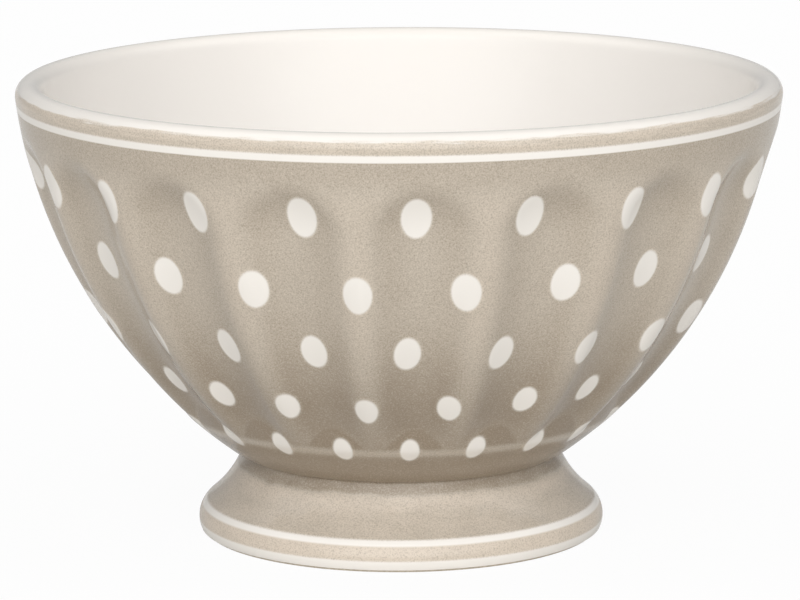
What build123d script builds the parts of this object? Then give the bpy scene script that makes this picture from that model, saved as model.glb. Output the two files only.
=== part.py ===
"""Footed latte bowl in glazed stoneware, built from its clay pieces and its coats of glaze.

Frame: millimetres, +Z up, origin at the centre of the ring that the foot stands on.
The front of the bowl faces -Y.
"""

from build123d import *
import math
import os

# Outside of the wall: one arc in the section, from the neck up to the lip
rim_radius = 74.8
rim_height = 86.9
neck_radius = 32.5
neck_height = 16.1
wall_curve = 101.7

# Lip and inside
lip_radius = 2.7
inner_curve = 90.0
floor_thickness = 5.8
floor_curve = 15.0

# Flutes pressed into the wall: the head gap is the plain wall between their arched heads and
# the rim line, and the crease rounds the place where a flute meets the slope it runs out on
flute_count = 18
flute_turn = 3.4
flute_depth = 2.9
flute_low_depth = 1.5
flute_head_length = 12.0
flute_head_gap = 3.0
flute_foot = 13.0
flute_foot_slope = 0.25
flute_crease = 0.35
ridge_share = 0.32

# Coats of glaze: the rim line lies a drop below the start of the lip
glaze = 0.4
lip_glaze_angle = 32.0
rim_line_drop = 0.8
rim_line_width = 1.4

# Dots: rows from the top down, as turn of the first dot from the front in degrees, share of
# the way from neck to rim line, width and height
dot_count = 21
dot_seat = 0.04
dot_lift = 0.15
dot_edge_share = 0.92
dot_rows = (
    (2.5, 0.859, 6.0, 9.0),
    (10.5, 0.676, 5.6, 8.3),
    (1.3, 0.490, 5.3, 8.2),
    (10.1, 0.321, 4.5, 7.2),
    (2.3, 0.158, 3.8, 6.8),
)

# Foot: a round roll that runs into a hollow flare
roll_radius = 4.95
roll_centre_radius = 35.1
roll_centre_height = 2.5
flare_angle = 50.9
flare_curve = 22.5
foot_wall = 5.4
foot_well_radius = 33.4
foot_line_middle = 39.0
foot_line_width = 1.4
foot_edge_top = 2.3
foot_dry = 0.5
slip = 0.5
slip_setback = 0.5

# Fineness of the fluted surfaces, and how near to level an edge counts as level
points_across = 14
stations_up = 40
dot_points = 12
dot_ring_shares = (0.6, 0.3)
level_limit = 0.01

front = -90.0
half_flute = math.pi / flute_count


def polar(centre, radius, angle):
    """Point in the section (radius, height) on a circle."""
    return (centre[0] + radius * math.cos(angle), centre[1] + radius * math.sin(angle))


def arc_centre(low, high, radius):
    """Centre of the arc through two section points that bulges outwards."""
    run, rise = high[0] - low[0], high[1] - low[1]
    chord = math.hypot(run, rise)
    reach = math.sqrt(radius**2 - chord**2 / 4)
    middle = ((low[0] + high[0]) / 2, (low[1] + high[1]) / 2)
    return (middle[0] - rise / chord * reach, middle[1] + run / chord * reach)


def section_arc(centre, radius, start, end):
    """Arc in the XZ plane from one angle to another, in radians."""
    ends = [polar(centre, radius, angle) for angle in (start, (start + end) / 2, end)]
    return ThreePointArc(*[(r, 0, z) for r, z in ends])


def ring(edges):
    """Solid of revolution of a closed section in the XZ plane."""
    return revolve(make_face(edges), Axis.Z, 360)


def join(first, second):
    """Straight line between two section points."""
    return Line((first[0], 0, first[1]), (second[0], 0, second[1]))


def skin(pieces):
    """Coat whose section follows arcs (centre, outer radius, inner radius, start, end)."""
    outer = [section_arc(c, r0, a0, a1) for c, r0, r1, a0, a1 in pieces]
    inner = [section_arc(c, r1, a0, a1) for c, r0, r1, a0, a1 in pieces]
    c, r0, r1, a0, a1 = pieces[0]
    start = join(polar(c, r0, a0), polar(c, r1, a0))
    c, r0, r1, a0, a1 = pieces[-1]
    end = join(polar(c, r0, a1), polar(c, r1, a1))
    return ring(outer + inner + [start, end])


# Section of the wall, the lip and the inside
wall_centre = arc_centre((neck_radius, neck_height), (rim_radius, rim_height), wall_curve)


def wall_angle(height):
    return math.asin((height - wall_centre[1]) / wall_curve)


neck_angle = wall_angle(neck_height)
rim_angle = wall_angle(rim_height)
line_high_angle = wall_angle(rim_height - rim_line_drop)
line_low_angle = wall_angle(rim_height - rim_line_drop - rim_line_width)
field_length = (line_low_angle - neck_angle) * wall_curve
lip_centre = polar(wall_centre, wall_curve - lip_radius, rim_angle)
lip_inside = polar(lip_centre, -lip_radius, rim_angle)
inner_centre = polar(lip_inside, -inner_curve, rim_angle)

base_height = polar(wall_centre, wall_curve - glaze, neck_angle)[1]
floor_height = base_height + floor_thickness
floor_arc_height = floor_height + floor_curve
floor_reach = math.sqrt((inner_curve - floor_curve) ** 2 - (floor_arc_height - inner_centre[1]) ** 2)
floor_centre = (inner_centre[0] + floor_reach, floor_arc_height)
inner_low_angle = math.atan2(floor_centre[1] - inner_centre[1], floor_centre[0] - inner_centre[0])
floor_angle = -math.pi / 2


# Flutes
flute_end = field_length - flute_head_gap
flute_head = flute_end - flute_head_length
flute_foot_angle = neck_angle + flute_foot / wall_curve
flute_end_angle = neck_angle + flute_end / wall_curve


def soft_least(first, second, blend):
    """Smaller of two lengths, rounded where they come within a blend of each other."""
    near = max(0.0, blend - abs(first - second)) / blend
    return min(first, second) - near**3 * blend / 6


def flute_section(place):
    """Depth across a flute as a share: 1 in the middle, 0 on the crest of the rounded ridge."""
    turn = 1 - ridge_share
    if place >= 1:
        return 0.0
    if place <= turn:
        return 1 - place**2 / turn
    return (1 - place) ** 2 / ridge_share


def flute_cut(across, up):
    """Depth of the wall below its envelope; across runs from -1 to 1 between two crests."""
    share = min(1.0, max(0.0, (up - flute_foot) / (flute_head - flute_foot)))
    deepest = flute_low_depth + (flute_depth - flute_low_depth) * share
    into_head = max(0.0, up - flute_head) / flute_head_length
    cut = deepest * flute_section(math.hypot(across, into_head))
    run_out = flute_foot_slope * (up - flute_foot)
    return max(0.0, soft_least(cut, run_out, flute_crease))


def wall_point(turn, up, below):
    """Point on the fluted wall: turn in degrees from the front, up the wall, below its glaze."""
    across = (turn - flute_turn) / math.degrees(half_flute)
    across = (across + 1) % 2 - 1
    angle = neck_angle + up / wall_curve
    radius, height = polar(wall_centre, wall_curve - flute_cut(across, up) - below, angle)
    direction = math.radians(front + turn)
    return Vector(radius * math.cos(direction), radius * math.sin(direction), height)


first_crest = flute_turn - math.degrees(half_flute)
last_crest = flute_turn + math.degrees(half_flute)


def flute_face(below):
    """Wall of one flute from crest to crest, from its run-out up to the end of its head."""
    steps = [k / points_across for k in range(points_across + 1)]
    ends = [math.radians(front + turn) for turn in (first_crest, last_crest)]
    sections = []
    for k in range(stations_up + 1):
        up = flute_foot + (flute_end - flute_foot) * k / stations_up
        turns = [first_crest + (last_crest - first_crest) * step for step in steps]
        # A crest belongs to two flutes, so its points sit just inside this one
        turns[0] += 1e-9
        turns[-1] -= 1e-9
        points = [wall_point(turn, up, below) for turn in turns]
        # Level with the circle at both crests, so neighbouring flutes run smoothly together
        pace = math.hypot(points[0].X, points[0].Y) * 2 * half_flute
        level = [Vector(-math.sin(end), math.cos(end), 0) * pace for end in ends]
        spline = Edge.make_spline(points, tangents=level, parameters=steps, scale=False)
        sections.append(Wire([spline]))
    return Shell.make_loft(sections).faces()[0]


def turned_faces(edges):
    """The share of one flute in the surface that a section makes when it is turned."""
    shell = Shell.revolve(Wire(edges), 360 / flute_count, Axis.Z)
    return [face.rotate(Axis.Z, front + first_crest) for face in shell.faces()]


def wall_faces(below, upper_edges):
    """One flute's share of a wall: plain foot, fluted part, and the turned part above it."""
    plain_foot = section_arc(wall_centre, wall_curve - below, neck_angle, flute_foot_angle)
    return turned_faces([plain_foot]) + [flute_face(below)] + turned_faces(upper_edges)


def around(shapes):
    """The same shapes repeated once for each flute."""
    step = 360 / flute_count
    return [shape.rotate(Axis.Z, step * k) for k in range(flute_count) for shape in shapes]


def level_edges(faces, height):
    """Edges of some faces that lie level at one height."""
    found = []
    for edge in [edge for face in faces for edge in face.edges()]:
        box = edge.bounding_box()
        if box.min.Z > height - level_limit and box.max.Z < height + level_limit:
            found.append(edge)
    return found


# Fluted stoneware bowl
bowl_sector = wall_faces(glaze, [
    section_arc(wall_centre, wall_curve - glaze, flute_end_angle, rim_angle),
    section_arc(lip_centre, lip_radius - glaze, rim_angle, rim_angle + math.pi),
    section_arc(inner_centre, inner_curve + glaze, rim_angle, inner_low_angle),
    section_arc(floor_centre, floor_curve + glaze, inner_low_angle, floor_angle),
])
bowl_faces = around(bowl_sector)
bowl_faces.append(Face(Wire(around(level_edges(bowl_sector, base_height)))))
bowl_faces.append(Face(Wire(around(level_edges(bowl_sector, floor_height - glaze)))))
bowl_body = Solid(Shell(bowl_faces))

# Taupe field glaze on the fluted wall
outer_arc = section_arc(wall_centre, wall_curve, flute_end_angle, line_low_angle)
inner_arc = section_arc(wall_centre, wall_curve - glaze, flute_end_angle, line_low_angle)
field_sector = wall_faces(0.0, [outer_arc]) + wall_faces(glaze, [inner_arc])
for angle in (neck_angle, line_low_angle):
    end = join(polar(wall_centre, wall_curve, angle), polar(wall_centre, wall_curve - glaze, angle))
    field_sector += turned_faces([end])
field_glaze = Solid(Shell(around(field_sector)))


# White dots: thin pads that follow the fluted surface
def dot_ring(turn, up, width, height, share, lift):
    """Closed curve on the wall at a share of the size of a dot."""
    reach = polar(wall_centre, wall_curve, neck_angle + up / wall_curve)[0]
    points = []
    for k in range(dot_points):
        angle = 2 * math.pi * k / dot_points
        side = math.degrees(share * width / 2 * math.cos(angle) / reach)
        rise = share * height / 2 * math.sin(angle)
        points.append(wall_point(turn + side, up + rise, -lift))
    steps = [k / dot_points for k in range(dot_points + 1)]
    return Wire([Edge.make_spline(points, periodic=True, parameters=steps)])


def dot_cap(first, size, lift):
    """Surface of a dot from one of its rings in to its middle."""
    rings = [first] + [dot_ring(*size, share, lift) for share in dot_ring_shares]
    return Shell.make_loft(rings + [Vertex(*wall_point(size[0], size[1], -lift))]).faces()


def dot(*size):
    """One pad, given its turn, place up the wall, width and height."""
    top = dot_seat + dot_lift
    edge = dot_ring(*size, 1.0, dot_seat)
    shoulder = dot_ring(*size, dot_edge_share, top)
    side = Shell.make_loft([edge, shoulder]).faces()
    return Solid(Shell(dot_cap(edge, size, dot_seat) + side + dot_cap(shoulder, size, top)))


dots = []
dot_pitch = 360 / dot_count
for row_turn, share, width, height in dot_rows:
    up = share * field_length
    dots += [dot(row_turn + dot_pitch * k, up, width, height) for k in range(dot_count)]
dot_glaze = Compound(children=dots)

# Rim line and rim band
lip_end = math.radians(lip_glaze_angle)
rim_line_glaze = skin([(wall_centre, wall_curve, wall_curve - glaze, line_low_angle, line_high_angle)])
rim_band_glaze = skin([
    (wall_centre, wall_curve, wall_curve - glaze, line_high_angle, rim_angle),
    (lip_centre, lip_radius, lip_radius - glaze, rim_angle, lip_end),
])

# White glaze over the lip and inside
liner_arcs = []
for below in (0.0, glaze):
    liner_arcs.append(section_arc(lip_centre, lip_radius - below, lip_end, rim_angle + math.pi))
    liner_arcs.append(section_arc(inner_centre, inner_curve + below, rim_angle, inner_low_angle))
    liner_arcs.append(section_arc(floor_centre, floor_curve + below, inner_low_angle, floor_angle))
    liner_arcs.append(join((floor_centre[0], floor_height - below), (0, floor_height - below)))
lip_edge = join(polar(lip_centre, lip_radius, lip_end), polar(lip_centre, lip_radius - glaze, lip_end))
liner_axis = join((0, floor_height), (0, floor_height - glaze))
liner_glaze = ring(liner_arcs + [lip_edge, liner_axis])

# Section of the foot
roll_centre = (roll_centre_radius, roll_centre_height)
flare_start = math.radians(flare_angle)
flare_centre = polar(roll_centre, roll_radius + flare_curve, flare_start)
foot_top = base_height - slip


def roll_angle(height):
    return math.asin((height - roll_centre_height) / roll_radius)


def flare_end(curve):
    """Angle on a flare arc at the top of the foot."""
    return math.pi + math.asin((flare_centre[1] - foot_top) / curve)


clay_roll = roll_radius - glaze
clay_flare = flare_curve + glaze
flare_low = flare_start + math.pi
stand_angle = math.asin(-roll_centre_height / clay_roll)
foot_top_radius = polar(flare_centre, clay_flare, flare_end(clay_flare))[0]
well_top_radius = foot_top_radius - foot_wall

# Hollow stoneware foot
foot_ring = ring([
    section_arc(roll_centre, clay_roll, stand_angle, flare_start),
    section_arc(flare_centre, clay_flare, flare_low, flare_end(clay_flare)),
    join((foot_top_radius, foot_top), (well_top_radius, foot_top)),
    join((well_top_radius, foot_top), (foot_well_radius, 0)),
    join((foot_well_radius, 0), polar(roll_centre, clay_roll, stand_angle)),
])

# Slip that lutes the foot to the bowl
slip_outer = foot_top_radius - slip_setback
slip_ring = Cylinder(slip_outer, slip) - Cylinder(well_top_radius, slip)
luting_slip = Pos(0, 0, foot_top + slip / 2) * slip_ring

# Coats on the outside of the foot
line_turn = math.degrees(foot_line_width / 2 / roll_radius)
line_start = math.radians(foot_line_middle - line_turn)
line_end = math.radians(foot_line_middle + line_turn)
edge_start = roll_angle(foot_dry)
edge_end = roll_angle(foot_edge_top)
foot_edge_glaze = skin([(roll_centre, roll_radius, clay_roll, edge_start, edge_end)])
foot_band_glaze = skin([(roll_centre, roll_radius, clay_roll, edge_end, line_start)])
foot_line_glaze = skin([(roll_centre, roll_radius, clay_roll, line_start, line_end)])
foot_glaze = ring([
    section_arc(roll_centre, roll_radius, line_end, flare_start),
    section_arc(roll_centre, clay_roll, line_end, flare_start),
    section_arc(flare_centre, flare_curve, flare_low, flare_end(flare_curve)),
    section_arc(flare_centre, clay_flare, flare_low, flare_end(clay_flare)),
    join(polar(roll_centre, roll_radius, line_end), polar(roll_centre, clay_roll, line_end)),
    join(polar(flare_centre, flare_curve, flare_end(flare_curve)), (foot_top_radius, foot_top)),
])

# White glaze in the well of the foot
well_slope = (foot_well_radius - well_top_radius) / foot_top
well_low = 2 * foot_dry
well_low_radius = foot_well_radius - well_slope * well_low
ceiling = base_height - glaze
well_glaze = ring([
    join((well_low_radius, well_low), (well_top_radius, foot_top)),
    join((well_top_radius, foot_top), (well_top_radius, base_height)),
    join((well_top_radius, base_height), (0, base_height)),
    join((0, base_height), (0, ceiling)),
    join((0, ceiling), (well_top_radius - glaze, ceiling)),
    join((well_top_radius - glaze, ceiling), (well_low_radius - glaze, well_low)),
    join((well_low_radius - glaze, well_low), (well_low_radius, well_low)),
])

os.makedirs("parts", exist_ok=True)
pieces = {
    "bowl_body": bowl_body,
    "foot_ring": foot_ring,
    "luting_slip": luting_slip,
    "liner_glaze": liner_glaze,
    "field_glaze": field_glaze,
    "dot_glaze": dot_glaze,
    "rim_band_glaze": rim_band_glaze,
    "rim_line_glaze": rim_line_glaze,
    "foot_glaze": foot_glaze,
    "foot_line_glaze": foot_line_glaze,
    "foot_band_glaze": foot_band_glaze,
    "foot_edge_glaze": foot_edge_glaze,
    "well_glaze": well_glaze,
}
for name, piece in pieces.items():
    export_step(piece, f"parts/{name}.step")
    print(f"{name}: {len(piece.solids())} solid(s), {piece.volume / 1000:.2f} cm3, valid {piece.is_valid}")
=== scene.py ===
# %% [markdown]
# # A footed latte bowl in two glazes
#
# The bowl is pressed stoneware: a round wall with eighteen flutes, a turned foot luted
# under it, a white glaze inside and a speckled taupe glaze outside. White dots and white
# lines stay where the taupe was masked off. The clay is already there as a fixed frame of
# solids. This lesson puts the fired surface over it: what you see of such a bowl is glaze,
# so almost every piece below is a thin coat with its own finish.

# %% Load the fixed frame
import math

import bpy
from mathutils import Matrix


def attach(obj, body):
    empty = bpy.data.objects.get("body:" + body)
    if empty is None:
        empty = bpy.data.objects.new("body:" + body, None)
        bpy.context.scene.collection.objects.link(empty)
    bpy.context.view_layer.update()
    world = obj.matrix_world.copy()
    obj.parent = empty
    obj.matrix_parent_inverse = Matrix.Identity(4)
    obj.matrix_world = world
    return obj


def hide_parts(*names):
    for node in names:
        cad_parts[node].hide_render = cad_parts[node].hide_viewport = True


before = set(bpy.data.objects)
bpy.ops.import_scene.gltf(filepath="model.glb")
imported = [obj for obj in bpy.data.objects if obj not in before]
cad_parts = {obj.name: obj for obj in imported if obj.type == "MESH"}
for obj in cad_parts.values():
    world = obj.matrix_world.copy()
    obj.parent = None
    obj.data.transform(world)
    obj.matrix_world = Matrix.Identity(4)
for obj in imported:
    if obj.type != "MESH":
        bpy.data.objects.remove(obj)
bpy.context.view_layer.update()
mm = 0.001
print("nodes:", ", ".join(sorted(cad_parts)))

# %% [markdown]
# ## The section of the bowl
#
# Everything here is round, so the whole shape is one section, drawn as arcs in a plane of
# radius and height and turned round the axis. One arc is the outside of the wall, a half
# circle is the lip, and two more arcs are the inside. The foot is a round roll that runs
# into a hollow flare. The same few sizes drive the solids, and all else is worked out.

# %% Arcs of the wall, the lip and the inside
rim = (74.8 * mm, 86.9 * mm)
neck = (32.5 * mm, 16.1 * mm)
wall_curve = 101.7 * mm
lip_radius = 2.7 * mm
lip_end = math.radians(32.0)
inner_curve = 90.0 * mm
floor_curve = 15.0 * mm
floor_thickness = 5.8 * mm
coat = 0.4 * mm


def polar(centre, radius, angle):
    """Point on a circle in the section, as (radius, height)."""
    return (centre[0] + radius * math.cos(angle), centre[1] + radius * math.sin(angle))


def arc_centre(low, high, radius):
    """Centre of the arc through two section points that bulges outwards."""
    run, rise = high[0] - low[0], high[1] - low[1]
    chord = math.hypot(run, rise)
    reach = math.sqrt(radius**2 - chord**2 / 4)
    return ((low[0] + high[0]) / 2 - rise / chord * reach, (low[1] + high[1]) / 2 + run / chord * reach)


wall_centre = arc_centre(neck, rim, wall_curve)
neck_angle = math.asin((neck[1] - wall_centre[1]) / wall_curve)
rim_angle = math.asin((rim[1] - wall_centre[1]) / wall_curve)
lip_centre = polar(wall_centre, wall_curve - lip_radius, rim_angle)
inner_centre = polar(lip_centre, -lip_radius - inner_curve, rim_angle)
base_height = polar(wall_centre, wall_curve - coat, neck_angle)[1]
floor_height = base_height + floor_thickness
floor_drop = floor_height + floor_curve - inner_centre[1]
floor_reach = math.sqrt((inner_curve - floor_curve) ** 2 - floor_drop**2)
floor_centre = (inner_centre[0] + floor_reach, floor_height + floor_curve)
inner_low_angle = math.atan2(floor_drop, floor_reach)
print("lip top in mm:", round((lip_centre[1] + lip_radius) / mm, 2))
print("inside floor in mm:", round(floor_height / mm, 2))

# %% Arcs of the foot
roll_centre = (35.1 * mm, 2.5 * mm)
roll_radius = 4.95 * mm
flare_angle = math.radians(50.9)
flare_curve = 22.5 * mm
foot_wall = 5.4 * mm
foot_well_radius = 33.4 * mm
foot_dry = 0.5 * mm
slip = 0.5 * mm

flare_centre = polar(roll_centre, roll_radius + flare_curve, flare_angle)
foot_top = base_height - slip


def flare_end(curve):
    """Angle on an arc of the flare at the top of the foot."""
    return math.pi + math.asin((flare_centre[1] - foot_top) / curve)


foot_top_radius = polar(flare_centre, flare_curve + coat, flare_end(flare_curve + coat))[0]
well_top_radius = foot_top_radius - foot_wall
print("foot in mm, top and radius there:", round(foot_top / mm, 2), round(foot_top_radius / mm, 2))

# %% [markdown]
# ## Node trees from plain expressions
#
# Both the shapes and the finishes below are node trees. Written node by node they would be
# long and hard to check, so one small class wraps a socket and lets ordinary arithmetic add
# the Math nodes. Any other node comes from one method, which takes its type, its settings
# and the values or links of its sockets. The same two classes serve shader trees and
# geometry trees, because both know the Math node.


# %% A class that wraps a socket
class Value:
    """A number in a node tree; arithmetic on it adds Math nodes."""

    def __init__(self, graph, socket):
        self.graph = graph
        self.socket = socket

    def math(self, operation, *others):
        sockets = dict(enumerate((self,) + others))
        return self.graph.node("ShaderNodeMath", {"operation": operation}, sockets)

    def __add__(self, other):
        return self.math("ADD", other)

    def __radd__(self, other):
        return self.math("ADD", other)

    def __sub__(self, other):
        return self.math("SUBTRACT", other)

    def __rsub__(self, other):
        return (self * -1).math("ADD", other)

    def __mul__(self, other):
        return self.math("MULTIPLY", other)

    def __rmul__(self, other):
        return self.math("MULTIPLY", other)

    def __truediv__(self, other):
        return self.math("DIVIDE", other)

    def __pow__(self, other):
        return self.math("POWER", other)

    def clamp(self):
        """The value kept between 0 and 1."""
        return self.math("MAXIMUM", 0.0).math("MINIMUM", 1.0)

    def rise(self, start, end):
        """A soft step from 0 at start to 1 at end."""
        settings = {"interpolation_type": "SMOOTHSTEP"}
        sockets = {"Value": self, "From Min": start, "From Max": end}
        return self.graph.node("ShaderNodeMapRange", settings, sockets)


class Graph:
    """One node tree."""

    def __init__(self, tree):
        self.tree = tree

    def node(self, kind, settings=None, sockets=None, output=0):
        """Adds a node: settings first, then the values or links of its sockets."""
        made = self.tree.nodes.new(kind)
        for name, value in (settings or {}).items():
            setattr(made, name, value)
        for name, value in (sockets or {}).items():
            self.feed(self.find(made.inputs, name), value)
        return Value(self, self.find(made.outputs, output))

    def find(self, sockets, name):
        if isinstance(name, int):
            return sockets[name]
        return next(socket for socket in sockets if socket.enabled and name == socket.name)

    def feed(self, socket, value):
        if isinstance(value, Value):
            self.tree.links.new(value.socket, socket)
        else:
            socket.default_value = value

    def join(self, x, y, z):
        """Vector from three numbers."""
        return self.node("ShaderNodeCombineXYZ", {}, {"X": x, "Y": y, "Z": z})

    def split(self, vector):
        """Three numbers from a vector."""
        first = self.node("ShaderNodeSeparateXYZ", {}, {"Vector": vector})
        outputs = first.socket.node.outputs
        return [Value(self, outputs[axis]) for axis in "XYZ"]


# %% [markdown]
# ## The fluted wall
#
# The flutes are the heart of this bowl. Each is a shallow hollow with an arched head below
# the rim, a rounded ridge on either side and a foot that runs out on a slope. They could be
# cut with eighteen cutters, but then every edge would have to be rounded afterwards. Here
# the wall follows a rule instead: a depth below the plain wall is worked out for each place
# across and up a flute, and Geometry Nodes move a grid there. Smooth minima round the
# places where two rules meet, as melted glaze does.

# %% Sizes of the flutes
rim_line_top = rim[1] - 0.8 * mm
rim_line_bottom = rim_line_top - 1.4 * mm
line_low_angle = math.asin((rim_line_bottom - wall_centre[1]) / wall_curve)
line_high_angle = math.asin((rim_line_top - wall_centre[1]) / wall_curve)
field_length = (line_low_angle - neck_angle) * wall_curve
head_length = 12.0 * mm
head_gap = 3.0 * mm
wall_sizes = {
    "Flutes": 18.0,
    "Flute turn": math.radians(3.4),
    "Flute depth": 2.9 * mm,
    "Low depth": 1.5 * mm,
    "Head start": field_length - head_gap - head_length,
    "Head length": head_length,
    "Foot start": 13.0 * mm,
    "Foot slope": 0.25,
    "Ridge share": 0.32,
    "Crease": 0.35 * mm,
    "Wall radius": wall_curve,
    "Centre radius": wall_centre[0],
    "Centre height": wall_centre[1],
    "Neck angle": neck_angle,
}
print("length of the field up the wall in mm:", round(field_length / mm, 1))


# %% The rule of the wall as nodes
def flute_depth(size, turn, up):
    """Depth below the plain wall, its share across the flute, and where its foot slopes out."""
    across = (turn - size["Flute turn"]) * size["Flutes"] / math.pi
    across = (across + 1).math("FLOORED_MODULO", 2.0) - 1
    share = ((up - size["Foot start"]) / (size["Head start"] - size["Foot start"])).clamp()
    deepest = size["Low depth"] + (size["Flute depth"] - size["Low depth"]) * share
    into_head = (up - size["Head start"]).math("MAXIMUM", 0.0) / size["Head length"]
    place = (across * across + into_head * into_head).math("SQRT").math("MINIMUM", 1.0)
    ridge = size["Ridge share"]
    hollow = 1 - place * place / (1 - ridge)
    crest = (1 - place) * (1 - place) / ridge
    on_crest = place.math("GREATER_THAN", 1 - ridge)
    section = hollow + (crest - hollow) * on_crest
    run_out = ((up - size["Foot start"]) * size["Foot slope"]).math("SMOOTH_MAX", 0.0, size["Crease"])
    cut = deepest * section
    soft = cut.math("SMOOTH_MIN", run_out, size["Crease"]).math("MAXIMUM", 0.0)
    # Mask of the slopes where the flutes run out, read only for their painted shade.
    slope = (cut * 0.9 - run_out).rise(0.0, 0.25 * mm)
    return soft, section, slope


def wall_place(graph, size, turn, up, below):
    """Point on the fluted wall; turn runs from the front, up from the neck along the wall."""
    soft, section, slope = flute_depth(size, turn, up)
    angle = size["Neck angle"] + up / size["Wall radius"]
    reach = size["Wall radius"] - soft - below
    radius = size["Centre radius"] + reach * angle.math("COSINE")
    height = size["Centre height"] + reach * angle.math("SINE")
    point = graph.join(radius * turn.math("SINE"), radius * turn.math("COSINE") * -1, height)
    return point, section, slope


# %% Where the glaze gathers and thins, and where shade and a highlight are painted
pool_and_light_shares = {
    "flank": 0.6,
    "ridge": -0.4,
    "low": 0.66,
    "hollow": 0.2,
    "crown": 0.08,
    "top": 0.12,
    # run_out is painted shade on the slopes where the flutes run out, which face down; shoulder is a
    # painted highlight along the edge below them, where the glaze is also thinner.
    "run_out": 0.38,
    "shoulder": -0.6,
    "base": 0.25,
}


def pool_and_painted_light(size, up, section, slope):
    """How much darker (above 0) or paler (below 0) the taupe is: deeper glaze on the flanks and in the low
    hollows, thinner glaze on the ridges, darker towards the neck, painted shade on the run-out slopes and
    a painted highlight on the shoulder below them.
    """
    over_foot = up - size["Foot start"]
    over_head = up - size["Head start"]
    low = 1 - over_foot.rise(9 * mm, 40 * mm)
    between = over_foot.rise(-8 * mm, 40 * mm) * (1 - over_head.rise(5 * mm, 12 * mm))
    sloping = section * (1 - section) * over_foot.rise(4 * mm, 14 * mm)
    places = {
        "flank": sloping * (1 + over_head.rise(0.0, 4 * mm) / 3),
        "ridge": (1 - section) ** 3 * between,
        "low": low,
        "hollow": section * low * over_foot.rise(2 * mm, 6 * mm),
        "crown": over_head.rise(-6 * mm, 2 * mm),
        "top": over_head.rise(8 * mm, 14 * mm),
        # Painted shade on the run-out slopes, and below it a painted highlight along the shoulder.
        "run_out": slope * over_foot.rise(0.0, 1.2 * mm),
        "shoulder": 1 - (over_foot + 0.8 * mm).math("ABSOLUTE").rise(0.2 * mm, 1.8 * mm),
        "base": 1 - over_foot.rise(-4 * mm, -1 * mm),
    }
    return sum(places[name] * share for name, share in pool_and_light_shares.items())


# Of these places, run_out is painted shade and shoulder a painted highlight.
print("places where the glaze is deeper or thinner:", ", ".join(pool_and_light_shares))


# %% A geometry tree with named inputs
def start_tree(name, sizes):
    """New geometry tree; returns its graph and each named input as a value."""
    tree = bpy.data.node_groups.new(name, "GeometryNodeTree")
    tree.interface.new_socket("Geometry", in_out="OUTPUT", socket_type="NodeSocketGeometry")
    for label in sizes:
        tree.interface.new_socket(label, in_out="INPUT", socket_type="NodeSocketFloat")
    graph = Graph(tree)
    inlet = tree.nodes.new("NodeGroupInput")
    return graph, {label: Value(graph, inlet.outputs[label]) for label in sizes}


def end_tree(graph, geometry, material):
    """Realize Instances and Set Material, then the output."""
    plain = graph.node("GeometryNodeRealizeInstances", {}, {"Geometry": geometry})
    coated = graph.node("GeometryNodeSetMaterial", {}, {"Geometry": plain, "Material": material})
    outlet = graph.tree.nodes.new("NodeGroupOutput")
    graph.tree.links.new(coated.socket, outlet.inputs["Geometry"])


def keep_attribute(graph, geometry, label, value):
    """Stores a number on each point, for the material to read."""
    sockets = {"Geometry": geometry, "Name": label, "Value": value}
    return graph.node("GeometryNodeStoreNamedAttribute", {"data_type": "FLOAT"}, sockets)


def evaluated_mesh(tree, sizes, name):
    """The tree's result for these sizes, as a plain mesh."""
    carrier = bpy.data.objects.new(name + "_carrier", bpy.data.meshes.new(name + "_carrier"))
    bpy.context.scene.collection.objects.link(carrier)
    modifier = carrier.modifiers.new("Rule", "NODES")
    modifier.node_group = tree
    for item in tree.interface.items_tree:
        if item.in_out == "INPUT":
            modifier[item.identifier] = sizes[item.name]
    graph = bpy.context.evaluated_depsgraph_get()
    mesh = bpy.data.meshes.new_from_object(carrier.evaluated_get(graph))
    carrier.modifiers.remove(modifier)
    bpy.data.objects.remove(carrier)
    return mesh


# %% Finished pieces
smooth_limit = math.radians(40)


def add_piece(name, mesh, nodes):
    """Makes a mesh a piece of the bowl that stands for some of its solids."""
    mesh.name = name
    mesh.shade_smooth()
    mesh.set_sharp_from_angle(angle=smooth_limit)
    piece = bpy.data.objects.new(name, mesh)
    bpy.context.scene.collection.objects.link(piece)
    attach(piece, "root")
    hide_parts(*nodes)
    mesh.calc_loop_triangles()
    print(f"{name}: {len(mesh.loop_triangles)} triangles")
    return piece


# %% [markdown]
# ## The glazes
#
# The taupe is sprayed, so it is a fine speckle and not a flat colour: droplets of about a
# quarter of a millimetre, lighter and darker, under a clear gloss. It gathers in hollows and
# creases, where it fires darker, and it thins on ridges, where it fires paler. Light and shade
# are also painted into it: painted shade on the slopes where the flutes run out, a painted
# shadow of the bowl under the neck over glaze that has run into the crease there, and painted
# highlights along the shoulder below the flutes, where the glaze is also thinner, and on the
# upper flare of the foot. The white is a smooth warm glaze. Inside the bowl it is a little
# darker than on the dots and lines, a painted shade, and on the crest of the lip it is tinted
# a little towards the clay colour. Where the two glazes meet, the edge is soft and slightly
# grainy, because the spray creeps under the mask. Each finish is one function that makes a
# material. All read Object coordinates, so they run on from one coat to the next without a
# seam.

# %% Colours and grain
def linear(red, green, blue):
    """A colour that was picked on a screen, as Blender's linear numbers."""
    def channel(value):
        share = value / 255
        return share / 12.92 if share <= 0.04045 else ((share + 0.055) / 1.055) ** 2.4
    return (channel(red), channel(green), channel(blue), 1.0)


taupe = linear(197, 186, 171)
taupe_dark = linear(153, 138, 119)
taupe_pale = linear(222, 209, 193)
white = linear(250, 246, 240)
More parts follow.
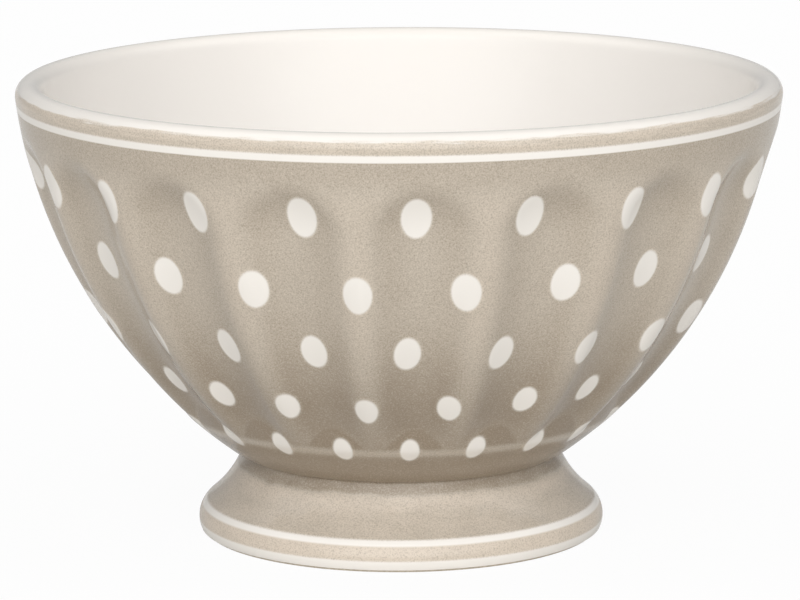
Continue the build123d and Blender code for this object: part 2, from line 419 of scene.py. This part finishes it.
# The inside's white is a little darker than the white of the dots and lines: painted shade for the more
# brightly lit inside.
shaded_liner_white = linear(241, 237, 232)
well_cream = linear(240, 233, 222)
clay = linear(226, 216, 200)
clay_dark = linear(205, 192, 172)
dark_speck = linear(122, 108, 92)
pale_speck = linear(232, 222, 208)
grain_size = 0.28 * mm
grain_strength = 1.7
grain_hidden = 0.4
cloud_size = 7 * mm
cloud_strength = 0.25
line_blur = 0.25 * mm
line_raggedness = 0.2 * mm
band_thinness = 0.5
lip_tint = 0.2
gloss_roughness = 0.14
clay_roughness = 0.85
ripple_size = 4 * mm
ripple_strength = 0.05
ripple_height = 0.5 * mm


def new_material(name):
    """Empty material with a glossy shader; returns its graph and the shader node."""
    material = bpy.data.materials.new(name)
    material.use_nodes = True
    graph = Graph(material.node_tree)
    shader = material.node_tree.nodes["Principled BSDF"]
    return material, graph, shader


def place_on_bowl(graph):
    """Object coordinates as a vector."""
    return graph.node("ShaderNodeTexCoord", {}, {}, "Object")


def noise(graph, where, size, detail=2.0):
    """Cloudy noise from 0 to 1 with spots of about this size."""
    sockets = {"Vector": where, "Scale": 1 / size, "Detail": detail}
    return graph.node("ShaderNodeTexNoise", {}, sockets, "Fac")


def mix(graph, share, first, second):
    """Colour between two colours."""
    sockets = {"Factor": share, "A": first, "B": second}
    return graph.node("ShaderNodeMix", {"data_type": "RGBA"}, sockets, "Result")


def bumped(graph, shader, height, strength, distance):
    """Fine relief on the surface."""
    sockets = {"Height": height, "Strength": strength, "Distance": distance}
    graph.feed(shader.inputs["Normal"], graph.node("ShaderNodeBump", {}, sockets, "Normal"))


def taupe_colour(graph, where, tone_shift):
    """Speckled taupe, darker for a tone shift above 0 and paler below 0: deep and thin glaze, and on the
    wall and the foot also painted shade and painted highlights.
    """
    cloud = noise(graph, where, cloud_size) - 0.5
    # depth carries deep glaze and painted shade above 0, thin glaze and painted highlights below 0.
    depth = tone_shift + cloud * cloud_strength
    deep = mix(graph, depth.clamp(), taupe, taupe_dark)
    plain = mix(graph, (depth * -1).clamp(), deep, taupe_pale)
    shown = 1 - depth.clamp() * grain_hidden
    grain = (noise(graph, where, grain_size, 3.0) - 0.5) * grain_strength * shown
    dark = mix(graph, grain.clamp(), plain, dark_speck)
    return mix(graph, (grain * -1).clamp(), dark, pale_speck)


def finish_glaze(graph, shader, where, colour):
    """Clear gloss over the colour, with the faint unevenness of a fired glaze."""
    graph.feed(shader.inputs["Base Color"], colour)
    shader.inputs["Roughness"].default_value = gloss_roughness
    bumped(graph, shader, noise(graph, where, ripple_size), ripple_strength, ripple_height)


def kept_number(graph, label):
    """Number that the geometry stored on each point."""
    return graph.node("ShaderNodeAttribute", {"attribute_name": label}, {}, "Fac")


# %% Finish of the field
def field_finish():
    material, graph, shader = new_material("taupe_field")
    where = place_on_bowl(graph)
    tone_shift = kept_number(graph, "tone_shift")
    colour = taupe_colour(graph, where, tone_shift)
    finish_glaze(graph, shader, where, colour)
    return material


# %% Finish of the dots
dot_raggedness = 0.25 * mm
dot_edge = (-0.25 * mm, 0.45 * mm)
dot_halo = (-1.0 * mm, 0.2 * mm)
halo_thinness = 0.3


def dot_finish():
    material, graph, shader = new_material("white_dots")
    where = place_on_bowl(graph)
    tone_shift = kept_number(graph, "tone_shift")
    inside = kept_number(graph, "inside")
    sprayed = inside + (noise(graph, where, dot_raggedness) - 0.5) * dot_raggedness
    mask = sprayed.rise(*dot_edge)
    halo = inside.rise(*dot_halo)
    colour = mix(graph, mask, taupe_colour(graph, where, tone_shift - halo * halo_thinness), white)
    finish_glaze(graph, shader, where, colour)
    return material


# %% Finish of the rim
band_top = polar(lip_centre, lip_radius, lip_end)[1]
band_edge = (band_top - 0.4 * mm, band_top + 0.2 * mm)
rim_stretch = (0.06, 0.06, 1.0)
rim_streak = 0.5 * mm
rim_waver = 1.6 * mm
rim_streak_depth = 1.3


def rim_finish():
    material, graph, shader = new_material("glazed_rim")
    where = place_on_bowl(graph)
    x, y, z = graph.split(where)
    along = graph.node("ShaderNodeMapping", {}, {"Vector": where, "Scale": rim_stretch})
    streak = noise(graph, along, rim_streak) - 0.5
    brushed = z + streak * rim_waver
    radius = (x * x + y * y).math("SQRT")
    outside = radius.rise(lip_centre[0], lip_centre[0] + 0.4 * mm)
    grainy = z + (noise(graph, where, grain_size) - 0.5) * line_raggedness
    below_lip = 1 - brushed.rise(*band_edge)
    line = grainy.rise(rim_line_bottom - line_blur, rim_line_bottom + line_blur)
    line = line * (1 - grainy.rise(rim_line_top - line_blur, rim_line_top + line_blur))
    share = outside * below_lip * (1 - line)
    tone_shift = streak * rim_streak_depth - z.rise(rim_line_bottom, rim_line_top) * band_thinness
    # The crest of the lip is tinted a little towards the clay colour.
    crest = z.rise(lip_centre[1], lip_centre[1] + lip_radius) * lip_tint
    inner_colour = mix(graph, crest, shaded_liner_white, clay)
    plain = mix(graph, outside * below_lip, inner_colour, white)
    colour = mix(graph, share, plain, taupe_colour(graph, where, tone_shift))
    finish_glaze(graph, shader, where, colour)
    return material


# %% Finish of the foot
foot_line_middle = math.radians(39.0)
foot_line_width = 1.4 * mm
foot_edge_top = 2.3 * mm
line_half = foot_line_width / 2 / roll_radius
foot_line_low = polar(roll_centre, roll_radius, foot_line_middle - line_half)[1]
foot_line_high = polar(roll_centre, roll_radius, foot_line_middle + line_half)[1]
foot_thinness = 0.25
foot_band_thinness = 0.7
# The paler zone on the upper flare is a painted highlight.
flare_highlight_strength = 0.5
flare_highlight = (9 * mm, 12.5 * mm)
# The dark zone under the neck is glaze that has run into the crease plus a painted shadow of the bowl,
# with a wavy edge; below it a softer painted shade.
neck_pool_and_shadow = (12.7 * mm, 13.9 * mm)
neck_waver = 2 * mm
neck_waver_size = 9 * mm
neck_shade = (11.5 * mm, 15 * mm)
neck_shade_depth = 0.45
foot_stretch = (0.25, 0.25, 1.0)
foot_streak = 1.8 * mm
foot_streak_depth = 0.9


def foot_finish():
    material, graph, shader = new_material("glazed_foot")
    where = place_on_bowl(graph)
    z = graph.split(where)[2]
    grainy = z + (noise(graph, where, grain_size) - 0.5) * line_raggedness
    line = grainy.rise(foot_line_low - line_blur, foot_line_low + line_blur)
    line = line * (1 - grainy.rise(foot_line_high - line_blur, foot_line_high + line_blur))
    edge = 1 - grainy.rise(foot_edge_top - line_blur, foot_edge_top + line_blur)
    share = (1 - line) * (1 - edge)
    wavy = z + (noise(graph, where, neck_waver_size) - 0.5) * neck_waver
    # Painted shadow of the bowl under the neck, over glaze that has run into the crease, and a softer
    # painted shade.
    under_neck = wavy.rise(*neck_pool_and_shadow) + z.rise(*neck_shade) * neck_shade_depth
    along = graph.node("ShaderNodeMapping", {}, {"Vector": where, "Scale": foot_stretch})
    streak = noise(graph, along, foot_streak) - 0.5
    band = 1 - z.rise(foot_line_low, foot_line_high)
    # Paler foot: a painted highlight on the upper flare, a paler band under the foot line and an overall
    # thinner glaze.
    thin = z.rise(*flare_highlight) * flare_highlight_strength + band * foot_band_thinness + foot_thinness
    tone_shift = under_neck - thin + streak * foot_streak_depth
    colour = mix(graph, share, white, taupe_colour(graph, where, tone_shift))
    finish_glaze(graph, shader, where, colour)
    return material


# %% Finish of the white well and of the dry clay
def well_finish():
    material, graph, shader = new_material("white_well")
    where = place_on_bowl(graph)
    cloud = noise(graph, where, 12 * mm)
    colour = mix(graph, cloud.rise(0.35, 0.75), white, well_cream)
    finish_glaze(graph, shader, where, colour)
    return material


def clay_finish():
    material, graph, shader = new_material("dry_stoneware")
    where = place_on_bowl(graph)
    speck = noise(graph, where, 0.5 * mm, 4.0)
    colour = mix(graph, speck.rise(0.3, 0.7), clay, clay_dark)
    graph.feed(shader.inputs["Base Color"], colour)
    shader.inputs["Roughness"].default_value = clay_roughness
    bumped(graph, shader, speck, 0.3, 0.2 * mm)
    return material


taupe_field = field_finish()
white_dots = dot_finish()
glazed_rim = rim_finish()
glazed_foot = foot_finish()
white_well = well_finish()
dry_stoneware = clay_finish()
print("finishes:", ", ".join(sorted(material.name for material in bpy.data.materials)))

# %% [markdown]
# ## Making the wall
#
# The grid's columns run round the bowl and its rows run up the outside of the coat, over its
# upper edge, down its back and under its lower edge, so that the coat is a closed skin. The
# place of a point in the grid gives its turn, its way up the wall and its depth in the coat.

# %% The fluted field
columns = 432
front_rows = 150
back_rows = 48
field_sizes = {**wall_sizes, "Length": field_length, "Coat": coat}


def field_tree():
    graph, size = start_tree("Fluted field", field_sizes)
    rows = front_rows + 1 + back_rows + 1
    sheet = graph.node(
        "GeometryNodeMeshGrid",
        {},
        {"Size X": 1.0, "Size Y": float(rows), "Vertices X": columns + 1, "Vertices Y": rows + 1},
        "Mesh",
    )
    x, y = graph.split(graph.node("GeometryNodeInputPosition"))[:2]
    turn = x * (2 * math.pi)
    row = (y + rows / 2).math("ROUND")
    on_back = row.math("GREATER_THAN", front_rows + 0.5) * row.math("LESS_THAN", rows - 0.5)
    rising = (row / front_rows).clamp()
    falling = 1 - (row - (front_rows + 1)) / back_rows
    closing = row.math("LESS_THAN", rows - 0.5)
    share = (rising + (falling - rising) * on_back) * closing
    point, section, slope = wall_place(graph, size, turn, share * size["Length"], on_back * size["Coat"])
    pool_and_light = pool_and_painted_light(size, share * size["Length"], section, slope)
    toned = keep_attribute(graph, sheet, "tone_shift", pool_and_light)
    placed = graph.node("GeometryNodeSetPosition", {}, {"Geometry": toned, "Position": point})
    merged = graph.node("GeometryNodeMergeByDistance", {}, {"Geometry": placed, "Distance": 1e-7})
    end_tree(graph, merged, taupe_field)
    return graph.tree


field_mesh = evaluated_mesh(field_tree(), field_sizes, "fluted_field")
add_piece("fluted_field", field_mesh, ["field_glaze"])

# %% [markdown]
# ## The dots
#
# Five rows of dots run round the wall, each row half a step on from the one above. On the
# real bowl they are spots of white glaze that have melted in flush, so each is a very thin
# lens that follows the flutes below it. One tree makes a row: it lays a round grid on every
# point of the row and then bends all of them onto the wall by the same rule.

# %% Rows of dots
dot_count = 21
dot_margin = 1.1 * mm
dot_lift = 0.09 * mm
dot_sink = 0.2 * mm
dot_spokes = 40
dot_rings = 8
dot_rows = (
    (2.5, 0.859, 6.0 * mm, 9.0 * mm),
    (10.5, 0.676, 5.6 * mm, 8.3 * mm),
    (1.3, 0.490, 5.3 * mm, 8.2 * mm),
    (10.1, 0.321, 4.5 * mm, 7.2 * mm),
    (2.3, 0.158, 3.8 * mm, 6.8 * mm),
)
row_sizes = {
    **wall_sizes,
    "Row start": 0.0,
    "Row place": 0.0,
    "Row radius": 0.0,
    "Half width": 0.0,
    "Half height": 0.0,
    "Margin": dot_margin,
    "Lift": dot_lift,
    "Sink": dot_sink,
}


def dot_tree():
    graph, size = start_tree("Row of dots", row_sizes)
    rows = dot_rings + 2
    patch = graph.node(
        "GeometryNodeMeshGrid",
        {},
        {"Size X": 1.0, "Size Y": float(rows), "Vertices X": dot_spokes + 1, "Vertices Y": rows + 1},
        "Mesh",
    )
    spots = graph.node("GeometryNodePoints", {}, {"Count": dot_count})
    laid = graph.node("GeometryNodeInstanceOnPoints", {}, {"Points": spots, "Instance": patch})
    index = graph.node("GeometryNodeInputIndex")
    sockets = {"Geometry": laid, "Name": "order", "Value": index}
    ordered = graph.node(
        "GeometryNodeStoreNamedAttribute", {"data_type": "FLOAT", "domain": "INSTANCE"}, sockets
    )
    loose = graph.node("GeometryNodeRealizeInstances", {}, {"Geometry": ordered})
    order = graph.node(
        "GeometryNodeInputNamedAttribute", {"data_type": "FLOAT"}, {"Name": "order"}, "Attribute"
    )
    x, y = graph.split(graph.node("GeometryNodeInputPosition"))[:2]
    spoke = x * (2 * math.pi)
    row = (y + rows / 2).math("ROUND")
    under = row.math("GREATER_THAN", dot_rings + 0.5)
    out = (row / dot_rings).math("MINIMUM", 1.0) * row.math("LESS_THAN", rows - 0.5)
    wide = size["Half width"] + size["Margin"]
    high = size["Half height"] + size["Margin"]
    side = out * wide * spoke.math("COSINE")
    rise = out * high * spoke.math("SINE")
    turn = size["Row start"] + order * (2 * math.pi / dot_count) + side / size["Row radius"]
    lens = size["Lift"] * (1 - out * out * 1.4)
    below = under * size["Sink"] - (1 - under) * lens
    point, section, slope = wall_place(graph, size, turn, size["Row place"] + rise, below)
    pool_and_light = pool_and_painted_light(size, size["Row place"] + rise, section, slope)
    toned = keep_attribute(graph, loose, "tone_shift", pool_and_light)
    across = side / size["Half width"]
    tall = rise / size["Half height"]
    reach = (across * across + tall * tall).math("SQRT")
    inside = (1 - reach) * (size["Half width"] + size["Half height"]) * 0.5
    kept = keep_attribute(graph, toned, "inside", inside)
    placed = graph.node("GeometryNodeSetPosition", {}, {"Geometry": kept, "Position": point})
    merged = graph.node("GeometryNodeMergeByDistance", {}, {"Geometry": placed, "Distance": 1e-7})
    end_tree(graph, merged, white_dots)
    return graph.tree


def join_meshes(meshes, name):
    """One mesh from several that share their attributes."""
    carriers = []
    for mesh in meshes:
        carrier = bpy.data.objects.new(name, mesh)
        bpy.context.scene.collection.objects.link(carrier)
        carriers.append(carrier)
    with bpy.context.temp_override(active_object=carriers[0], selected_editable_objects=carriers):
        bpy.ops.object.join()
    joined = carriers[0].data.copy()
    bpy.data.objects.remove(carriers[0])
    return joined


row_tree = dot_tree()
row_meshes = []
for number, (turn, share, width, height) in enumerate(dot_rows):
    up = share * field_length
    row_sizes["Row start"] = math.radians(turn)
    row_sizes["Row place"] = up
    row_sizes["Row radius"] = polar(wall_centre, wall_curve, neck_angle + up / wall_curve)[0]
    row_sizes["Half width"] = width / 2
    row_sizes["Half height"] = height / 2
    row_meshes.append(evaluated_mesh(row_tree, row_sizes, f"dot_row_{number}"))
add_piece("white_dots", join_meshes(row_meshes, "white_dots"), ["dot_glaze"])

# %% [markdown]
# ## The turned coats
#
# The rim, the inside and the foot are plain turned shapes. A section is a closed line of
# points, taken along the arcs, and turning it round the axis gives a closed skin. Points on
# the axis become one pole. All coats at the rim have as many columns as the wall, so that
# their edges meet point on point and no crack shows.


# %% Turning a section
def arc_points(centre, radius, start, end, count):
    """Points along an arc of the section, both ends included."""
    return [polar(centre, radius, start + (end - start) * k / count) for k in range(count + 1)]


def turned_mesh(name, section, around, material):
    """Mesh of a closed section turned round the axis, starting at the back of the bowl."""
    points, faces, rings = [], [], []
    for radius, height in section:
        if radius < 1e-9:
            points.append((0.0, 0.0, height))
            rings.append([len(points) - 1] * around)
            continue
        first = len(points)
        for k in range(around):
            turn = 2 * math.pi * k / around - math.pi
            points.append((radius * math.sin(turn), -radius * math.cos(turn), height))
        rings.append(list(range(first, first + around)))
    for low, high in zip(rings, rings[1:] + rings[:1]):
        for k in range(around):
            after = (k + 1) % around
            corners = [low[k], low[after], high[after], high[k]]
            corners = [c for n, c in enumerate(corners) if c not in corners[:n]]
            if len(corners) > 2:
                faces.append(corners)
    mesh = bpy.data.meshes.new(name)
    mesh.from_pydata(points, [], faces)
    mesh.materials.append(material)
    mesh.validate()
    return mesh


def coat_section(arcs):
    """Closed section of a coat that follows arcs given as (centre, outer, inner, start, end, count)."""
    outer = []
    inner = []
    for centre, over, under, start, end, count in arcs:
        outer += arc_points(centre, over, start, end, count)[1 if outer else 0:]
        inner += arc_points(centre, under, start, end, count)[1 if inner else 0:]
    return outer + inner[::-1]


# %% Rim line, rim band and liner
line_arcs = [(wall_centre, wall_curve, wall_curve - coat, line_low_angle, line_high_angle, 4)]
band_arcs = [
    (wall_centre, wall_curve, wall_curve - coat, line_high_angle, rim_angle, 4),
    (lip_centre, lip_radius, lip_radius - coat, rim_angle, lip_end, 8),
]
liner_outer = (
    arc_points(lip_centre, lip_radius, lip_end, rim_angle + math.pi, 24)
    + arc_points(inner_centre, inner_curve, rim_angle, inner_low_angle, 70)[1:]
    + arc_points(floor_centre, floor_curve, inner_low_angle, -math.pi / 2, 16)[1:]
    + [(floor_centre[0] * share, floor_height) for share in (0.75, 0.5, 0.25, 0.0)]
)
liner_inner = (
    arc_points(lip_centre, lip_radius - coat, lip_end, rim_angle + math.pi, 12)
    + arc_points(inner_centre, inner_curve + coat, rim_angle, inner_low_angle, 30)[1:]
    + arc_points(floor_centre, floor_curve + coat, inner_low_angle, -math.pi / 2, 8)[1:]
    + [(0.0, floor_height - coat)]
)
line_mesh = turned_mesh("rim_line", coat_section(line_arcs), columns, glazed_rim)
band_mesh = turned_mesh("rim_band", coat_section(band_arcs), columns, glazed_rim)
liner_mesh = turned_mesh("white_liner", liner_outer + liner_inner[::-1], columns, glazed_rim)
add_piece("rim_line", line_mesh, ["rim_line_glaze"])
add_piece("rim_band", band_mesh, ["rim_band_glaze"])
add_piece("white_liner", liner_mesh, ["liner_glaze"])

# %% Coats of the foot
clay_roll = roll_radius - coat
clay_flare = flare_curve + coat
foot_columns = 288
edge_start = math.asin((foot_dry - roll_centre[1]) / roll_radius)
edge_end = math.asin((foot_edge_top - roll_centre[1]) / roll_radius)
line_start = foot_line_middle - line_half
line_end = foot_line_middle + line_half
foot_arcs = {
    "foot_edge": (edge_start, edge_end, 8, "foot_edge_glaze", "white_glaze"),
    "foot_band": (edge_end, line_start, 8, "foot_band_glaze", "taupe_glaze"),
    "foot_line": (line_start, line_end, 6, "foot_line_glaze", "white_glaze"),
}
for name, (start, end, count, node, slot) in foot_arcs.items():
    section = coat_section([(roll_centre, roll_radius, clay_roll, start, end, count)])
    add_piece(name, turned_mesh(name, section, foot_columns, glazed_foot), [node])

flare_start = flare_angle + math.pi
flare_outer = arc_points(roll_centre, roll_radius, line_end, flare_angle, 4)
flare_outer += arc_points(flare_centre, flare_curve, flare_start, flare_end(flare_curve), 28)[1:]
flare_inner = arc_points(roll_centre, clay_roll, line_end, flare_angle, 4)
flare_inner += arc_points(flare_centre, clay_flare, flare_start, flare_end(clay_flare), 28)[1:]
flare_mesh = turned_mesh("foot_flare", flare_outer + flare_inner[::-1], foot_columns, glazed_foot)
add_piece("foot_flare", flare_mesh, ["foot_glaze"])

# %% Well of the foot and the dry standing ring
well_slope = (foot_well_radius - well_top_radius) / foot_top
well_low = 2 * foot_dry
well_low_radius = foot_well_radius - well_slope * well_low
ceiling = base_height - coat
well_section = [
    (well_low_radius, well_low),
    (well_top_radius, foot_top),
    (well_top_radius, base_height),
    (0.0, base_height),
    (0.0, ceiling),
    (well_top_radius - coat, ceiling),
    (well_low_radius - coat, well_low),
]
well_mesh = turned_mesh("white_well", well_section, foot_columns, white_well)
add_piece("white_well", well_mesh, ["well_glaze"])

stand_angle = math.asin(-roll_centre[1] / clay_roll)
ring_section = arc_points(roll_centre, clay_roll, stand_angle, flare_angle, 24)
ring_section += arc_points(flare_centre, clay_flare, flare_start, flare_end(clay_flare), 24)[1:]
ring_section += [(well_top_radius, foot_top), (foot_well_radius, 0.0)]
ring_mesh = turned_mesh("clay_foot", ring_section, foot_columns, dry_stoneware)
add_piece("clay_foot", ring_mesh, ["foot_ring"])

for node in ("bowl_body", "luting_slip"):
    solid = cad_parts[node]
    solid.data.materials.clear()
    solid.data.materials.append(dry_stoneware)

# %% [markdown]
# ## Floor, light and camera
#
# The bowl stands on a plain white floor in soft light: a broad light in front, a high one on
# each side that reaches into the bowl, and a dim room. The floor is partly its own white for
# the camera, so that it ends in plain white and still takes a soft shadow. It is open under
# the foot, so that light also reaches the well when the bowl is seen from below.

# %% Floor
floor_radius = 4.0
floor_opening = 38.8 * mm
floor_sides = 96
floor_seen = (0.9, 0.9, 0.9, 1.0)
floor_around = (0.62, 0.60, 0.565, 1.0)
floor_roughness = 0.9
own_white = 0.95
mirrored_white = 0.35


def light_paths(graph, *kinds):
    """Whether a ray is of each of these kinds, such as Camera or Glossy."""
    path = graph.node("ShaderNodeLightPath")
    outputs = path.socket.node.outputs
    return [Value(graph, outputs[f"Is {kind} Ray"]) for kind in kinds]


def floor_finish():
    material, graph, shader = new_material("pale_floor")
    camera_ray, glossy_ray = light_paths(graph, "Camera", "Glossy")
    graph.feed(shader.inputs["Base Color"], mix(graph, camera_ray, floor_around, floor_seen))
    shader.inputs["Roughness"].default_value = floor_roughness
    glow = graph.node("ShaderNodeEmission", {}, {"Color": (1.0, 1.0, 1.0, 1.0), "Strength": 1.0})
    back = graph.node("ShaderNodeNewGeometry", {}, {}, "Backfacing")
    clear = graph.node("ShaderNodeBsdfTransparent")
    surface = Value(graph, shader.outputs["BSDF"])
    seen_white = (camera_ray * own_white).math("MAXIMUM", glossy_ray * mirrored_white)
    lit = graph.node("ShaderNodeMixShader", {}, {0: seen_white, 1: surface, 2: glow})
    sided = graph.node("ShaderNodeMixShader", {}, {0: back * camera_ray, 1: lit, 2: clear})
    outlet = graph.tree.nodes["Material Output"]
    graph.feed(outlet.inputs["Surface"], sided)
    return material


floor_points = []
for radius in (floor_opening, floor_radius):
    for k in range(floor_sides):
        turn = 2 * math.pi * k / floor_sides
        floor_points.append((radius * math.cos(turn), radius * math.sin(turn), 0.0))
floor_faces = []
for k in range(floor_sides):
    after = (k + 1) % floor_sides
    floor_faces.append((k, floor_sides + k, floor_sides + after, after))
floor_mesh = bpy.data.meshes.new("floor")
floor_mesh.from_pydata(floor_points, [], floor_faces)
floor_mesh.materials.append(floor_finish())
floor = bpy.data.objects.new("floor", floor_mesh)
bpy.context.scene.collection.objects.link(floor)
print("floor: opening of", round(2 * floor_opening / mm, 1), "mm under the foot")

# %% Light
front_height = math.radians(13)
front_light = 2.42
front_edge = 0.5
side_height = math.radians(60)
side_light = 1.35
side_edge = 0.8
room_light = 0.13


def light_room():
    """A broad light in front and a high one on each side, in a dim room that the camera sees as white."""
    world = bpy.data.worlds.new("room")
    bpy.context.scene.world = world
    world.use_nodes = True
    graph = Graph(world.node_tree)
    camera_ray, glossy_ray, clear_ray = light_paths(graph, "Camera", "Glossy", "Transmission")
    x, y, z = graph.split(graph.node("ShaderNodeTexCoord", {}, {}, "Generated"))
    front = z * math.sin(front_height) - y * math.cos(front_height)
    side = z * math.sin(side_height) + x.math("ABSOLUTE") * math.cos(side_height)
    light = front.rise(front_edge, 1.0) * front_light + side.rise(side_edge, 1.0) * side_light
    light = light + room_light
    shown = camera_ray.math("MAXIMUM", clear_ray).math("MAXIMUM", glossy_ray * mirrored_white)
    background = world.node_tree.nodes["Background"]
    graph.feed(background.inputs["Strength"], light + (1 - light) * shown)
    background.inputs["Color"].default_value = (1.0, 1.0, 1.0, 1.0)


light_room()
print("light: front", front_light, "sides", side_light, "room", room_light)

# %% Camera
camera_place = (0.0, -0.896, 0.2186)
camera_pitch = 0.191
camera_roll = -0.005
camera_data = bpy.data.cameras.new("camera")
camera_data.sensor_width = 36.0
camera_data.lens = 4630 / 800 * 36.0
camera = bpy.data.objects.new("camera", camera_data)
tilt = Matrix.Rotation(math.pi / 2 - camera_pitch, 4, "X") @ Matrix.Rotation(camera_roll, 4, "Z")
camera.matrix_world = Matrix.Translation(camera_place) @ tilt
bpy.context.scene.collection.objects.link(camera)
bpy.context.scene.camera = camera
bpy.context.scene.view_settings.view_transform = "Standard"
print("camera in m:", [round(side, 4) for side in camera_place], "lens in mm:", round(camera_data.lens, 1))
